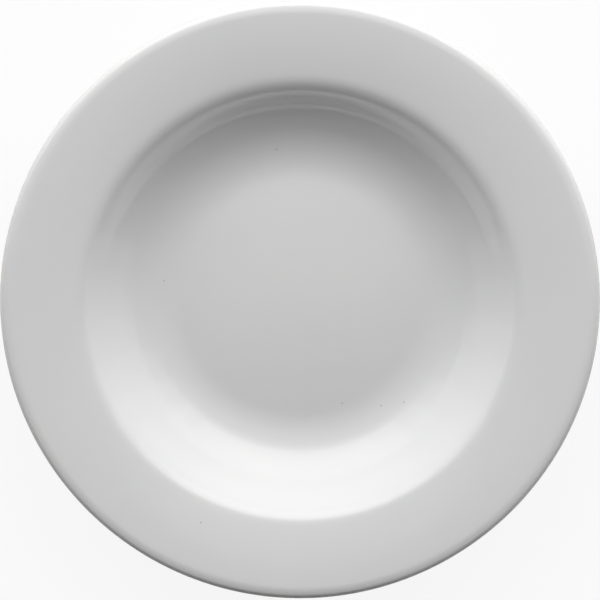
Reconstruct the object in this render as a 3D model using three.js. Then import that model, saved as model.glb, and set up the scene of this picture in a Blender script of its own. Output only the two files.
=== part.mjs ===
// Deep plate in white glazed porcelain: one fired body with a wide rim, a sloping well and a foot ring,
// a glaze coat over its face, lip and back, and a second glaze coat inside the foot ring.
// Millimetres, Z up, resting on the foot ring at Z = 0.

import * as THREE from "three";

// Driving dimensions, in millimetres and degrees
const PLATE_DIAMETER = 240;
const FLOOR_DIAMETER = 95.4;
const FLOOR_CROWN_ANGLE = 5.5;
const LOWER_WALL_RADIUS = 34;
const LOWER_WALL_ANGLE = 33;
const UPPER_WALL_RADIUS = 71;
const WALL_ANGLE = 42.6;
const WALL_STRAIGHT = 6.9;
const EASE_IN_RADIUS = 30;
const SHOULDER_RADIUS = 11;
const SHOULDER_START_ANGLE = 37.5;
const SHOULDER_END_ANGLE = 20;
const EASE_OUT_RADIUS = 18;
const RIM_START_ANGLE = 12.5;
const RIM_ANGLE = 7.5;
const LIP_ROLL_RADIUS = 9;
const LIP_DROP_ANGLE = 12;
const WALL_THICKNESS = 4.6;
const FLOOR_THICKNESS = 5.6;
const FOOT_DIAMETER = 130;
const FOOT_WIDTH = 4.6;
const FOOT_HEIGHT = 3.6;
const FOOT_FILLET_RADIUS = 3;
const FOOT_EDGE_RADIUS = 1;
const RECESS_CROWN_ANGLE = 3;
const GLAZE_THICKNESS = 0.3;

// How finely the round shapes are cut
const LATHE_STEPS = 60;
const ARC_ERROR = 0.08;

// The cross-section is walked from the middle of the well outward over the lip and back under the plate.
// Each point is kept with the direction that leads out of the clay there.
class Section {
  constructor(height) {
    this.point = new THREE.Vector2(0, height);
    this.heading = 0;
    this.points = [];
    this.normals = [];
    this.keep();
  }

  keep() {
    this.points.push(this.point.clone());
    this.normals.push(new THREE.Vector2(-Math.sin(this.heading), Math.cos(this.heading)));
  }

  line(length) {
    this.point.x += length * Math.cos(this.heading);
    this.point.y += length * Math.sin(this.heading);
    this.keep();
  }

  // A tangent arc; a left turn is positive
  arc(radius, turn) {
    const side = Math.sign(turn);
    const centreX = this.point.x - side * radius * Math.sin(this.heading);
    const centreY = this.point.y + side * radius * Math.cos(this.heading);
    const largestStep = 2 * Math.acos(1 - ARC_ERROR / radius);
    const steps = Math.ceil(Math.abs(turn) / largestStep);
    const start = this.heading;
    for (let step = 1; step <= steps; step += 1) {
      this.heading = start + (turn * step) / steps;
      this.point.x = centreX + side * radius * Math.sin(this.heading);
      this.point.y = centreY - side * radius * Math.cos(this.heading);
      this.keep();
    }
  }
}

// Sizes worked out from the driving dimensions
const floorCrown = THREE.MathUtils.degToRad(FLOOR_CROWN_ANGLE);
const lowerWallAngle = THREE.MathUtils.degToRad(LOWER_WALL_ANGLE);
const wallAngle = THREE.MathUtils.degToRad(WALL_ANGLE);
const shoulderStart = THREE.MathUtils.degToRad(SHOULDER_START_ANGLE);
const shoulderEnd = THREE.MathUtils.degToRad(SHOULDER_END_ANGLE);
const rimStart = THREE.MathUtils.degToRad(RIM_START_ANGLE);
const rimAngle = THREE.MathUtils.degToRad(RIM_ANGLE);
const lipDropAngle = THREE.MathUtils.degToRad(LIP_DROP_ANGLE);
const recessCrown = THREE.MathUtils.degToRad(RECESS_CROWN_ANGLE);
const lipRoll = rimAngle + lipDropAngle;
const bodyRadius = PLATE_DIAMETER / 2 - GLAZE_THICKNESS;
const floorRadius = FLOOR_DIAMETER / 2;
const noseRadius = (WALL_THICKNESS - LIP_ROLL_RADIUS * (1 - Math.cos(lipRoll))) / (1 + Math.cos(lipRoll));

// The recess under the plate is crowned like the floor of the well above it
const footRadius = FOOT_DIAMETER / 2;
const recessFillet = FOOT_HEIGHT - FOOT_EDGE_RADIUS;
const recessRadius = footRadius - FOOT_WIDTH - recessFillet * (1 - Math.sin(recessCrown));
const recessRise = recessRadius * Math.tan(recessCrown / 2);
const recessTop = FOOT_EDGE_RADIUS + recessFillet * Math.cos(recessCrown) + recessRise;
const floorTop = recessTop + FLOOR_THICKNESS;

// The floor is crowned and runs straight into the hollow curve of the wall, which opens out towards its top.
// The wall eases into the tight shoulder and out of it again, and the rim is one long arc that takes up the
// width left between the shoulder and the lip
const crownRadius = floorRadius / Math.sin(floorCrown);
const lowerCentre = floorRadius + LOWER_WALL_RADIUS * Math.sin(floorCrown);
const upperCentre = lowerCentre + (LOWER_WALL_RADIUS - UPPER_WALL_RADIUS) * Math.sin(lowerWallAngle);
const wallTop = upperCentre + UPPER_WALL_RADIUS * Math.sin(wallAngle) + WALL_STRAIGHT * Math.cos(wallAngle);
const easeInReach = EASE_IN_RADIUS * (Math.sin(wallAngle) - Math.sin(shoulderStart));
const shoulderReach = SHOULDER_RADIUS * (Math.sin(shoulderStart) - Math.sin(shoulderEnd));
const easeOutReach = EASE_OUT_RADIUS * (Math.sin(shoulderEnd) - Math.sin(rimStart));
const wellReach = wallTop + easeInReach + shoulderReach + easeOutReach;
const rollReach = LIP_ROLL_RADIUS * (Math.sin(rimAngle) + Math.sin(lipDropAngle));
const noseReach = noseRadius * (1 - Math.sin(lipDropAngle));
const rimReach = bodyRadius - noseReach - rollReach - wellReach;
const rimRadius = rimReach / (Math.sin(rimStart) - Math.sin(rimAngle));

// The foot's outer side runs into the underside of the wall through a fillet, on the lower curve of the wall,
// or on the upper one where the foot is wide
function filletAngleOn(centre, radius) {
  return Math.asin((footRadius + FOOT_FILLET_RADIUS - centre) / (radius + FOOT_FILLET_RADIUS));
}

const underLowerRadius = LOWER_WALL_RADIUS + WALL_THICKNESS;
const underUpperRadius = UPPER_WALL_RADIUS + WALL_THICKNESS;
const lowerFilletAngle = filletAngleOn(lowerCentre, underLowerRadius);
const upperFilletAngle = filletAngleOn(upperCentre, underUpperRadius);
const filletAngle = lowerFilletAngle < lowerWallAngle ? lowerFilletAngle : upperFilletAngle;

const section = new Section(floorTop);
section.arc(crownRadius, -floorCrown);
section.arc(LOWER_WALL_RADIUS, floorCrown + lowerWallAngle);
section.arc(UPPER_WALL_RADIUS, wallAngle - lowerWallAngle);
section.line(WALL_STRAIGHT);
section.arc(EASE_IN_RADIUS, shoulderStart - wallAngle);
section.arc(SHOULDER_RADIUS, shoulderEnd - shoulderStart);
section.arc(EASE_OUT_RADIUS, rimStart - shoulderEnd);
section.arc(rimRadius, rimAngle - rimStart);
const rimEdge = section.point.clone();
section.arc(LIP_ROLL_RADIUS, -lipRoll);
section.arc(noseRadius, lipDropAngle - Math.PI / 2);
section.arc(noseRadius, rimAngle - Math.PI / 2);
const rimDirection = new THREE.Vector2(Math.cos(rimAngle), Math.sin(rimAngle));
section.line(section.point.clone().sub(rimEdge).dot(rimDirection));
section.arc(rimRadius - WALL_THICKNESS, rimStart - rimAngle);
section.arc(EASE_OUT_RADIUS - WALL_THICKNESS, shoulderEnd - rimStart);
section.arc(SHOULDER_RADIUS - WALL_THICKNESS, shoulderStart - shoulderEnd);
section.arc(EASE_IN_RADIUS - WALL_THICKNESS, wallAngle - shoulderStart);
section.line(WALL_STRAIGHT);
section.arc(underUpperRadius, Math.max(filletAngle, lowerWallAngle) - wallAngle);
section.arc(underLowerRadius, Math.min(filletAngle, lowerWallAngle) - lowerWallAngle);
section.arc(FOOT_FILLET_RADIUS, Math.PI / 2 - filletAngle);
section.line(section.point.y - FOOT_EDGE_RADIUS);
const coatEnd = section.points.length;

// Bare contact band of the foot ring
section.arc(FOOT_EDGE_RADIUS, -Math.PI / 2);
section.line(FOOT_WIDTH - 2 * FOOT_EDGE_RADIUS);
section.arc(FOOT_EDGE_RADIUS, -Math.PI / 2);
const wellStart = section.points.length - 1;

// Inner side of the foot and the recess inside it
section.arc(recessFillet, Math.PI / 2 - recessCrown);
section.arc(recessRadius / Math.sin(recessCrown), recessCrown);

function coated(first, last) {
  return section.points
    .slice(first, last)
    .map((point, index) => point.clone().addScaledVector(section.normals[first + index], GLAZE_THICKNESS));
}

function onAxis(points) {
  for (const point of points) {
    if (point.x < 1e-6) {
      point.x = 0;
    }
  }
  return points;
}

function turned(name, profile, colour, roughness) {
  const geometry = new THREE.LatheGeometry(onAxis(profile), LATHE_STEPS);
  geometry.rotateX(Math.PI / 2);
  const material = new THREE.MeshStandardMaterial({ color: colour, roughness: roughness, metalness: 0 });
  const mesh = new THREE.Mesh(geometry, material);
  mesh.name = name;
  return mesh;
}

const plate = new THREE.Group();
plate.name = "deep_plate";

const bodyProfile = section.points.map((point) => point.clone()).reverse();
plate.add(turned("porcelain_body", bodyProfile, 0xe6e1d8, 0.75));

const facePoints = section.points.slice(0, coatEnd).map((point) => point.clone());
const coatProfile = facePoints.concat(coated(0, coatEnd).reverse());
plate.add(turned("glaze_coat", coatProfile, 0xf3f3f1, 0.08));

const recessPoints = section.points.slice(wellStart).map((point) => point.clone());
const recessProfile = coated(wellStart, section.points.length).reverse().concat(recessPoints);
plate.add(turned("foot_well_glaze", recessProfile, 0xefefec, 0.12));

export default plate;
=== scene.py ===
# Deep plate in white glazed porcelain, standing on a pale table and seen from almost straight above.
import math
import bpy
from mathutils import Matrix, Vector


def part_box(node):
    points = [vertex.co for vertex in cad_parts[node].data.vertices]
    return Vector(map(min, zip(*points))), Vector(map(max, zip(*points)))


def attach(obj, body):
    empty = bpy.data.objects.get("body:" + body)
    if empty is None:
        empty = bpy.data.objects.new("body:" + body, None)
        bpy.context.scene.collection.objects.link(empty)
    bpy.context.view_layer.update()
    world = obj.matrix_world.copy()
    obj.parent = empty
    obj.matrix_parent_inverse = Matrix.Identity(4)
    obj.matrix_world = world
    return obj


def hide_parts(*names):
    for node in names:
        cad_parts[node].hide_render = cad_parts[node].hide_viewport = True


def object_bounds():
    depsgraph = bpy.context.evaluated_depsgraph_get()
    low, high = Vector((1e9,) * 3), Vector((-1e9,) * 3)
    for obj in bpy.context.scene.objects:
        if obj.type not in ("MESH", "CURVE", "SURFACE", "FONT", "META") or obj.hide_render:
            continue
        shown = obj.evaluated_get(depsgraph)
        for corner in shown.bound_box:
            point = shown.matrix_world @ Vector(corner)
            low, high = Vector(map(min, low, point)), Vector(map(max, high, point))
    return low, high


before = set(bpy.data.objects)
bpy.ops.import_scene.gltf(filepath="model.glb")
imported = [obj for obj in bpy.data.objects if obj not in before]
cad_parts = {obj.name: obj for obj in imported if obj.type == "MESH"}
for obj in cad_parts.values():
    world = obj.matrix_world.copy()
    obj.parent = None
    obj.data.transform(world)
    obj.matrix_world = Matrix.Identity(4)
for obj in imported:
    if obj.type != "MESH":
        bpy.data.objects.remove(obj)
cad_low, cad_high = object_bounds()

# Porcelain body
# The plate itself: one piece of white clay shaped on a turning mould together with its foot ring, then fired.
# Glaze hides all of it but the contact band under the foot, which is wiped clean before firing and polished.
FLOOR_RADIUS = 0.0477
FLOOR_CROWN = math.radians(5.5)
LOWER_WALL_RADIUS = 0.034
LOWER_WALL_SLOPE = math.radians(33)
UPPER_WALL_RADIUS = 0.071
WALL_SLOPE = math.radians(42.6)
WALL_STRAIGHT = 0.0069
EASE_IN_RADIUS = 0.030
SHOULDER_RADIUS = 0.011
SHOULDER_START = math.radians(37.5)
SHOULDER_END = math.radians(20)
EASE_OUT_RADIUS = 0.018
RIM_START = math.radians(12.5)
RIM_SLOPE = math.radians(7.5)
LIP_ROLL_RADIUS = 0.009
LIP_DROP = math.radians(12)
WALL_THICKNESS = 0.0046
FLOOR_THICKNESS = 0.0056
FOOT_WIDTH = 0.0046
FOOT_HEIGHT = 0.0036
FOOT_FILLET = 0.003
RECESS_CROWN = math.radians(3)
CONTOUR_TURN = math.radians(2.5)
CONTOUR_STEP = 0.0018
TURNING_STEPS = 208
SHARP_EDGE = math.radians(35)
ON_AXIS = 1e-7

# The glaze stops where the foot's rounded edge begins, so its lowest point gives the radius of that edge.
# The glaze in the recess reaches out to the foot's inner side.
body_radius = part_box("porcelain_body")[1].x
foot_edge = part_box("glaze_coat")[0].z
foot_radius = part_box("foot_well_glaze")[1].x + FOOT_WIDTH


class Contour:
    """Half of the plate's section, walked from the middle of the well over the lip and back underneath."""

    def __init__(self, height):
        self.place = Vector((0.0, height))
        self.heading = 0.0
        self.points = []
        self.normals = []
        self.keep()

    def keep(self):
        """Notes the point reached and the direction that leads out of the clay there."""
        self.points.append(self.place.copy())
        self.normals.append(Vector((-math.sin(self.heading), math.cos(self.heading))))

    def line(self, length):
        direction = Vector((math.cos(self.heading), math.sin(self.heading)))
        steps = math.ceil(abs(length) / CONTOUR_STEP)
        start = self.place.copy()
        for step in range(1, steps + 1):
            self.place = start + direction * length * step / steps
            self.keep()

    def arc(self, radius, turn):
        """A tangent arc; a turn to the left is positive."""
        side = math.copysign(radius, turn)
        centre = self.place + side * self.normals[-1]
        steps = math.ceil(max(abs(turn) / CONTOUR_TURN, radius * abs(turn) / CONTOUR_STEP))
        start = self.heading
        for step in range(1, steps + 1):
            self.heading = start + turn * step / steps
            self.place = centre + side * Vector((math.sin(self.heading), -math.cos(self.heading)))
            self.keep()


def turned(name, profile):
    """A profile turned once round the plate's axis. One that starts clear of the axis closes on itself."""
    vertices = []
    rings = []
    for point in profile:
        if point.x < ON_AXIS:
            rings.append([len(vertices)] * TURNING_STEPS)
            vertices.append((0.0, 0.0, point.y))
            continue
        rings.append(range(len(vertices), len(vertices) + TURNING_STEPS))
        for step in range(TURNING_STEPS):
            angle = 2 * math.pi * step / TURNING_STEPS
            vertices.append((point.x * math.cos(angle), point.x * math.sin(angle), point.y))
    if profile[0].x >= ON_AXIS:
        rings.append(rings[0])
    faces = []
    for ring, next_ring in zip(rings, rings[1:]):
        for step in range(TURNING_STEPS):
            after = (step + 1) % TURNING_STEPS
            corners = (ring[step], next_ring[step], next_ring[after], ring[after])
            faces.append(tuple(dict.fromkeys(corners)))
    mesh = bpy.data.meshes.new(name)
    mesh.from_pydata(vertices, [], [face for face in faces if len(face) > 2])
    mesh.shade_smooth()
    mesh.set_sharp_from_angle(angle=SHARP_EDGE)
    piece = bpy.data.objects.new(name, mesh)
    bpy.context.scene.collection.objects.link(piece)
    return piece


lip_roll = RIM_SLOPE + LIP_DROP
nose_radius = (WALL_THICKNESS - LIP_ROLL_RADIUS * (1 - math.cos(lip_roll))) / (1 + math.cos(lip_roll))
wall_centre = FLOOR_RADIUS + LOWER_WALL_RADIUS * math.sin(FLOOR_CROWN)
well_reach = wall_centre + LOWER_WALL_RADIUS * math.sin(LOWER_WALL_SLOPE)
well_reach += UPPER_WALL_RADIUS * (math.sin(WALL_SLOPE) - math.sin(LOWER_WALL_SLOPE))
well_reach += WALL_STRAIGHT * math.cos(WALL_SLOPE)
well_reach += EASE_IN_RADIUS * (math.sin(WALL_SLOPE) - math.sin(SHOULDER_START))
well_reach += SHOULDER_RADIUS * (math.sin(SHOULDER_START) - math.sin(SHOULDER_END))
well_reach += EASE_OUT_RADIUS * (math.sin(SHOULDER_END) - math.sin(RIM_START))
lip_reach = LIP_ROLL_RADIUS * (math.sin(RIM_SLOPE) + math.sin(LIP_DROP))
lip_reach += nose_radius * (1 - math.sin(LIP_DROP))
rim_radius = (body_radius - lip_reach - well_reach) / (math.sin(RIM_START) - math.sin(RIM_SLOPE))
under_radius = LOWER_WALL_RADIUS + WALL_THICKNESS
fillet_turn = math.asin((foot_radius + FOOT_FILLET - wall_centre) / (under_radius + FOOT_FILLET))
recess_fillet = FOOT_HEIGHT - foot_edge
recess_radius = foot_radius - FOOT_WIDTH - recess_fillet * (1 - math.sin(RECESS_CROWN))
recess_top = foot_edge + recess_fillet * math.cos(RECESS_CROWN) + recess_radius * math.tan(RECESS_CROWN / 2)

contour = Contour(recess_top + FLOOR_THICKNESS)
contour.arc(FLOOR_RADIUS / math.sin(FLOOR_CROWN), -FLOOR_CROWN)
contour.arc(LOWER_WALL_RADIUS, FLOOR_CROWN + LOWER_WALL_SLOPE)
contour.arc(UPPER_WALL_RADIUS, WALL_SLOPE - LOWER_WALL_SLOPE)
contour.line(WALL_STRAIGHT)
contour.arc(EASE_IN_RADIUS, SHOULDER_START - WALL_SLOPE)
contour.arc(SHOULDER_RADIUS, SHOULDER_END - SHOULDER_START)
contour.arc(EASE_OUT_RADIUS, RIM_START - SHOULDER_END)
contour.arc(rim_radius, RIM_SLOPE - RIM_START)
rim_edge = contour.place.copy()
rim_direction = Vector((math.cos(RIM_SLOPE), math.sin(RIM_SLOPE)))
contour.arc(LIP_ROLL_RADIUS, -lip_roll)
contour.arc(nose_radius, LIP_DROP - math.pi / 2)
contour.arc(nose_radius, RIM_SLOPE - math.pi / 2)
contour.line((contour.place - rim_edge).dot(rim_direction))
contour.arc(rim_radius - WALL_THICKNESS, RIM_START - RIM_SLOPE)
contour.arc(EASE_OUT_RADIUS - WALL_THICKNESS, SHOULDER_END - RIM_START)
contour.arc(SHOULDER_RADIUS - WALL_THICKNESS, SHOULDER_START - SHOULDER_END)
contour.arc(EASE_IN_RADIUS - WALL_THICKNESS, WALL_SLOPE - SHOULDER_START)
contour.line(WALL_STRAIGHT)
contour.arc(UPPER_WALL_RADIUS + WALL_THICKNESS, LOWER_WALL_SLOPE - WALL_SLOPE)
contour.arc(under_radius, fillet_turn - LOWER_WALL_SLOPE)
contour.arc(FOOT_FILLET, math.pi / 2 - fillet_turn)
contour.line(contour.place.y - foot_edge)
coat_end = len(contour.points)
contour.arc(foot_edge, -math.pi / 2)
contour.line(FOOT_WIDTH - 2 * foot_edge)
contour.arc(foot_edge, -math.pi / 2)
recess_start = len(contour.points) - 1
contour.arc(recess_fillet, math.pi / 2 - RECESS_CROWN)
contour.arc(recess_radius / math.sin(RECESS_CROWN), RECESS_CROWN)
contour.points[-1].x = 0.0

porcelain_body = turned("porcelain_body_fine", contour.points)


class Wire:
    """What one node gives. Sums, products and powers of values add the Math nodes for them."""

    def __init__(self, socket):
        self.socket = socket

    def node(self, kind, settings, inputs, output):
        """A new node in the same tree: its settings first, then its sockets, and the output that is used."""
        tree = self.socket.id_data
        made = tree.nodes.new(kind)
        for name, value in settings.items():
            setattr(made, name, value)
        for name, value in inputs.items():
            socket = next(one for one in made.inputs if one.identifier == name)
            if isinstance(value, Wire):
                tree.links.new(value.socket, socket)
            else:
                socket.default_value = value
        return Wire(next(one for one in made.outputs if one.identifier == output))

    def math(self, operation, first, second):
        inputs = {"Value": first, "Value_001": second}
        return self.node("ShaderNodeMath", {"operation": operation}, inputs, "Value")

    def __add__(self, other):
        return self.math("ADD", self, other)

    def __radd__(self, other):
        return self.math("ADD", other, self)

    def __sub__(self, other):
        return self.math("SUBTRACT", self, other)

    def __rsub__(self, other):
        return self.math("SUBTRACT", other, self)

    def __mul__(self, other):
        return self.math("MULTIPLY", self, other)

    def __rmul__(self, other):
        return self.math("MULTIPLY", other, self)

    def __pow__(self, power):
        return self.math("POWER", self, power)

    def ease(self, low, high):
        """0 up to low, 1 from high on, and a smooth step between them."""
        settings = {"interpolation_type": "SMOOTHSTEP"}
        inputs = {"Value": self, "From Min": low, "From Max": high}
        return self.node("ShaderNodeMapRange", settings, inputs, "Result")

    def noise(self, scale, detail):
        """Soft clouds about 0.5, scale of them to the metre."""
        return self.node("ShaderNodeTexNoise", {}, {"Vector": self, "Scale": scale, "Detail": detail}, "Fac")

    def tint(self, amount, first, second):
        """The first colour turning into the second as amount goes from 0 to 1."""
        inputs = {"Factor_Float": amount, "A_Color": first, "B_Color": second}
        return self.node("ShaderNodeMix", {"data_type": "RGBA"}, inputs, "Result_Color")

    def bump(self, height, reach):
        """A surface normal that follows a height of 0 to 1, reach metres tall."""
        return self.node("ShaderNodeBump", {}, {"Height": height, "Distance": reach}, "Normal")


def finish_of(piece, colour):
    """A fresh material on a piece: its shader and the wire that gives a point's place on the plate."""
    material = bpy.data.materials.new(piece.name)
    material.use_nodes = True
    material.diffuse_color = colour
    piece.data.materials.append(material)
    shader = material.node_tree.nodes["Principled BSDF"]
    place = Wire(shader.outputs["BSDF"]).node("ShaderNodeTexCoord", {}, {}, "Object")
    return shader, place


def feed(node, name, wire):
    node.id_data.links.new(wire.socket, node.inputs[name])


BISQUE = (0.70, 0.675, 0.63, 1.0)
BISQUE_RUBBED = (0.50, 0.485, 0.46, 1.0)
BISQUE_ROUGHNESS = 0.62
GRAIN_TO_THE_METRE = 2600
GRAIN_DETAIL = 3.0
GRAIN_HEIGHT = 0.00004
GRAIN_SHADE = 0.15
GRAIN_ROUGHNESS = 0.1
RUBS_TO_THE_METRE = 130
RUB_DETAIL = 4.0
RUB_START = 0.52
RUB_FULL = 0.74
RUB_SHADE = 0.6
RUB_POLISH = 0.22

shader, place = finish_of(porcelain_body, BISQUE)
grain = place.noise(GRAIN_TO_THE_METRE, GRAIN_DETAIL)
rubbed = RUB_SHADE * place.noise(RUBS_TO_THE_METRE, RUB_DETAIL).ease(RUB_START, RUB_FULL)
feed(shader, "Base Color", place.tint(rubbed + GRAIN_SHADE * grain, BISQUE, BISQUE_RUBBED))
feed(shader, "Roughness", BISQUE_ROUGHNESS - RUB_POLISH * rubbed + GRAIN_ROUGHNESS * grain)
feed(shader, "Normal", place.bump(grain, GRAIN_HEIGHT))
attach(porcelain_body, "root")
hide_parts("porcelain_body")

# Glaze coat
# A clear glaze about a third of a millimetre thick, poured over the face, the lip and the back and fired to
# glass. It lies smooth with a very slight ripple, runs a little thinner over the lip, is finely scuffed on
# the floor of the well, and holds a few specks of kiln dust.
GLAZE_WHITE = (0.705, 0.705, 0.703, 1.0)
GLAZE_DEEP = (0.693, 0.695, 0.695, 1.0)
GLAZE_THIN = (0.685, 0.680, 0.668, 1.0)
GLAZE_IOR = 1.48
GLAZE_ROUGHNESS = 0.06
CLOUDS_TO_THE_METRE = 24
CLOUD_DETAIL = 2.0
CLOUD_START = 0.3
CLOUD_FULL = 0.7
CLOUD_ROUGHNESS = 0.02
LIP_EDGE = 0.0028
LIP_THINNING = 0.6
SURFACE_DETAIL = 1.0
SWELL_TO_THE_METRE = 40
SWELL_HEIGHT = 0.00003
RIPPLE_TO_THE_METRE = 260
RIPPLE_HEIGHT = 0.000005
SCUFFS_TO_THE_METRE = 900
SCUFF_STRETCH = 0.04
SCUFF_TURN = math.radians(28)
SCUFF_START = 0.6
SCUFF_FULL = 0.8
SCUFF_ROUGHNESS = 0.05
SPECK_GREY = (0.44, 0.43, 0.42, 1.0)
SPECK_RADIUS = 0.00042
SPECK_CORE = 0.4
SPECKS = (
    Vector((-0.0551, 0.0064)),
    Vector((-0.0095, 0.0597)),
    Vector((0.0172, -0.0436)),
    Vector((0.0330, -0.0446)),
    Vector((0.0422, -0.0431)),
    Vector((-0.0399, -0.0893)),
)
glaze_thickness = cad_high.x - body_radius


def coated(first, last):
    """The contour from one point to another, moved out by the thickness of the glaze."""
    kept = zip(contour.points[first:last], contour.normals[first:last])
    return [point + normal * glaze_thickness for point, normal in kept]


def glaze_finish(piece, specks):
    """The glaze's finish on a piece, with a speck of dust at each of the places given."""
    shader, place = finish_of(piece, GLAZE_WHITE)
    shader.inputs["IOR"].default_value = GLAZE_IOR
    along = place.node("ShaderNodeSeparateXYZ", {}, {"Vector": place}, "X")
    across = place.node("ShaderNodeSeparateXYZ", {}, {"Vector": place}, "Y")
    radius = (along * along + across * across) ** 0.5
    clouds = place.noise(CLOUDS_TO_THE_METRE, CLOUD_DETAIL)
    colour = place.tint(clouds.ease(CLOUD_START, CLOUD_FULL), GLAZE_WHITE, GLAZE_DEEP)
    thin = LIP_THINNING * radius.ease(cad_high.x - LIP_EDGE, cad_high.x)
    colour = place.tint(thin, colour, GLAZE_THIN)
    for speck in specks:
        offset = ((along - speck.x) ** 2.0 + (across - speck.y) ** 2.0) ** 0.5
        dust = 1 - offset.ease(SPECK_CORE * SPECK_RADIUS, SPECK_RADIUS)
        colour = place.tint(dust, colour, SPECK_GREY)
    feed(shader, "Base Color", colour)
    settings = {"vector_type": "TEXTURE"}
    inputs = {"Vector": place, "Rotation": (0.0, 0.0, SCUFF_TURN), "Scale": (1.0, SCUFF_STRETCH, 1.0)}
    stretched = place.node("ShaderNodeMapping", settings, inputs, "Vector")
    scuffs = stretched.noise(SCUFFS_TO_THE_METRE, SURFACE_DETAIL).ease(SCUFF_START, SCUFF_FULL)
    worn = scuffs * (1 - radius.ease(wall_centre, wall_centre + LOWER_WALL_RADIUS / 2))
    feed(shader, "Roughness", GLAZE_ROUGHNESS + SCUFF_ROUGHNESS * worn + CLOUD_ROUGHNESS * clouds)
    swell = place.noise(SWELL_TO_THE_METRE, SURFACE_DETAIL)
    ripple = place.noise(RIPPLE_TO_THE_METRE, SURFACE_DETAIL)
    feed(shader, "Normal", place.bump(swell + (RIPPLE_HEIGHT / SWELL_HEIGHT) * ripple, SWELL_HEIGHT))


coat_profile = coated(0, coat_end) + list(reversed(contour.points[:coat_end]))
glaze_coat = turned("glaze_coat_fine", coat_profile)
glaze_finish(glaze_coat, SPECKS)
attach(glaze_coat, "root")
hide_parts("glaze_coat")

# Glaze inside the foot ring
# The same glaze, poured into the shallow recess under the plate and wiped off at the foot's inner edge.
# It lies level over the recess and bends down the inner side of the ring.
recess_profile = coated(recess_start, len(contour.points)) + list(reversed(contour.points[recess_start:]))
foot_well_glaze = turned("foot_well_glaze_fine", recess_profile)
glaze_finish(foot_well_glaze, ())
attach(foot_well_glaze, "root")
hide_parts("foot_well_glaze")

# Table and sweep
# A pale table top under the plate that turns up far away into a low sweep, so no view shows its edge.
# To the eye and in reflections it is mostly white, and it keeps some of the plate's own shadow.
TABLE_RADIUS = 11.0
SWEEP_HEIGHT = 1.4
SWEEP_STEPS = 12
TABLE_PALE = (0.80, 0.80, 0.80, 1.0)
TABLE_ROUGHNESS = 0.9
TABLE_SHINE = 0.0
TABLE_WHITE_SHARE = 0.90
WHITE_STRENGTH = 1.0

sweep = [Vector((TABLE_RADIUS * step / SWEEP_STEPS, 0.0)) for step in range(SWEEP_STEPS + 1)]
for step in range(1, SWEEP_STEPS + 1):
    turn = math.pi / 2 * step / SWEEP_STEPS
    sweep.append(Vector((TABLE_RADIUS + SWEEP_HEIGHT * math.sin(turn), SWEEP_HEIGHT * (1 - math.cos(turn)))))
table = turned("table", sweep)
shader, place = finish_of(table, TABLE_PALE)
shader.inputs["Base Color"].default_value = TABLE_PALE
shader.inputs["Roughness"].default_value = TABLE_ROUGHNESS
shader.inputs["Specular IOR Level"].default_value = TABLE_SHINE


def seen_by(ray):
    return place.node("ShaderNodeLightPath", {}, {}, ray)


shown = seen_by("Is Camera Ray") + seen_by("Is Glossy Ray") + seen_by("Is Transmission Ray")
white_share = TABLE_WHITE_SHARE * shown.ease(0.0, 1.0)
white = place.node("ShaderNodeEmission", {}, {"Strength": WHITE_STRENGTH}, "Emission")
shares = {"Fac": white_share, "Shader": Wire(shader.outputs["BSDF"]), "Shader_001": white}
mixed = place.node("ShaderNodeMixShader", {}, shares, "Shader")
feed(shader.id_data.nodes["Material Output"], "Surface", mixed)

# Light
# A tall white screen bent round the far half of the plate, in belts of upright strips, lit most behind its
# middle. Two soft lamps overhead fill in. The viewer's side stays dark, which shades the well's far wall, but
# for one low strip that the far wall mirrors.
SCREEN_RADIUS = 0.70
SCREEN_TURN = math.radians(12)
STRIPS_A_SIDE = 9
SCREEN_LEAN = math.radians(2)
SCREEN_FOOT = 0.08
LOWER_SEAM = 0.34
UPPER_SEAM = 0.52
TOP_SEAM = 1.12
SCREEN_HEAD = 1.46
LOWER_LEVEL = 1.7
LOWER_REACH = math.radians(130)
LOWER_FADE = math.radians(76)
MIDDLE_LEVEL = 2.7
MIDDLE_REACH = math.radians(101)
MIDDLE_FADE = math.radians(62)
UPPER_LEVEL = 3.35
UPPER_REACH = math.radians(79)
UPPER_FADE = math.radians(48)
TOP_LEVEL = 1.4
TOP_REACH = math.radians(70)
TOP_FADE = math.radians(40)
DOWN = Vector((0.0, 0.0, -1.0))
FAR_OVERHEAD_PLACE = Vector((0.0, 0.42, 1.50))
FAR_OVERHEAD_SIZE = (1.60, 0.60)
FAR_OVERHEAD_LEVEL = 0.25
OVERHEAD_PLACE = Vector((0.0, 0.10, 1.52))
OVERHEAD_SIZE = (1.80, 1.00)
OVERHEAD_LEVEL = 0.06
FAR_SIDE = Vector((0.0, 1.0, 0.0))
FRONT_STRIP_PLACE = Vector((0.0, -0.90, 0.084))
FRONT_STRIP_SIZE = (2.00, 0.032)
FRONT_STRIP_LEVEL = 0.80
LAMP_LEVEL = 1.10
STUDIO_DARK = (0.0, 0.0, 0.0, 1.0)


def soft_lamp(name, shape, place, facing, size, level):
    """An evenly lit face, level being the white that it shows in a mirror."""
    width, height = size
    lamp = bpy.data.lights.new(name, "AREA")
    lamp.shape = shape
    lamp.size = width
    lamp.size_y = height
    lit_share = math.pi / 4 if shape == "ELLIPSE" else 1.0
    lamp.energy = LAMP_LEVEL * level * math.pi * width * height * lit_share
    lamp_object = bpy.data.objects.new(name, lamp)
    lamp_object.location = place
    lamp_object.rotation_mode = "QUATERNION"
    lamp_object.rotation_quaternion = facing.to_track_quat("-Z", "Y")
    lamp_object.visible_camera = False
    bpy.context.scene.collection.objects.link(lamp_object)


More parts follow.
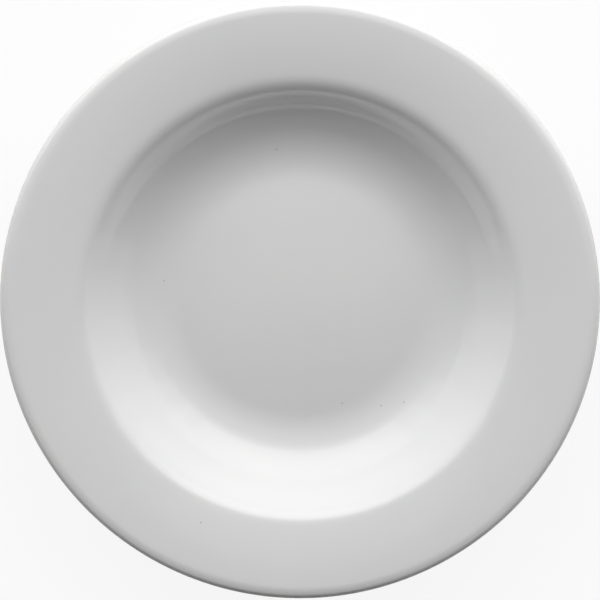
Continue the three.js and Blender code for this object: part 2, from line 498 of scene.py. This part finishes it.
def screen_belt(low, high, level, reach, fade):
    """The screen's strips from one height to another, which grow darker towards both ends of the belt."""
    strip_size = (2 * SCREEN_RADIUS * math.tan(SCREEN_TURN / 2), high - low)
    for step in range(-STRIPS_A_SIDE, STRIPS_A_SIDE + 1):
        turn = step * SCREEN_TURN
        strip_level = level * min(1.0, (reach - abs(turn - SCREEN_LEAN)) / fade)
        if strip_level > 0:
            outward = Vector((math.sin(turn), math.cos(turn), 0.0))
            middle = outward * SCREEN_RADIUS + Vector((0.0, 0.0, (low + high) / 2))
            soft_lamp("screen_strip", "RECTANGLE", middle, -outward, strip_size, strip_level)


screen_belt(SCREEN_FOOT, LOWER_SEAM, LOWER_LEVEL, LOWER_REACH, LOWER_FADE)
screen_belt(LOWER_SEAM, UPPER_SEAM, MIDDLE_LEVEL, MIDDLE_REACH, MIDDLE_FADE)
screen_belt(UPPER_SEAM, TOP_SEAM, UPPER_LEVEL, UPPER_REACH, UPPER_FADE)
screen_belt(TOP_SEAM, SCREEN_HEAD, TOP_LEVEL, TOP_REACH, TOP_FADE)
soft_lamp("far_overhead", "ELLIPSE", FAR_OVERHEAD_PLACE, DOWN, FAR_OVERHEAD_SIZE, FAR_OVERHEAD_LEVEL)
soft_lamp("overhead", "ELLIPSE", OVERHEAD_PLACE, DOWN, OVERHEAD_SIZE, OVERHEAD_LEVEL)
soft_lamp("front_strip", "RECTANGLE", FRONT_STRIP_PLACE, FAR_SIDE, FRONT_STRIP_SIZE, FRONT_STRIP_LEVEL)
world = bpy.data.worlds.new("studio")
world.use_nodes = True
world.node_tree.nodes["Background"].inputs["Color"].default_value = STUDIO_DARK
bpy.context.scene.world = world
bpy.context.scene.view_settings.view_transform = "Standard"

# Camera
# A long lens above the plate, leaning a few degrees towards the light, with the rim filling the square
# picture. It aims a little beyond the plate's axis, at the middle of the lip's thickness.
CAMERA_DISTANCE = 1.6
CAMERA_LEAN = math.radians(5.2)
AIM_BEYOND_AXIS = 0.00066
SENSOR_WIDTH = 36.0

lens = bpy.data.cameras.new("camera")
lens.sensor_width = SENSOR_WIDTH
lens.lens = SENSOR_WIDTH * CAMERA_DISTANCE / (cad_high.x - cad_low.x)
camera = bpy.data.objects.new("camera", lens)
aim = Vector((0.0, AIM_BEYOND_AXIS, cad_high.z - WALL_THICKNESS / 2))
back = Vector((0.0, math.sin(CAMERA_LEAN), math.cos(CAMERA_LEAN)))
right = Vector((1.0, 0.0, 0.0))
facing_plate = Matrix((right, back.cross(right), back)).transposed().to_4x4()
camera.matrix_world = Matrix.Translation(aim + back * CAMERA_DISTANCE) @ facing_plate
bpy.context.scene.collection.objects.link(camera)
bpy.context.scene.camera = camera
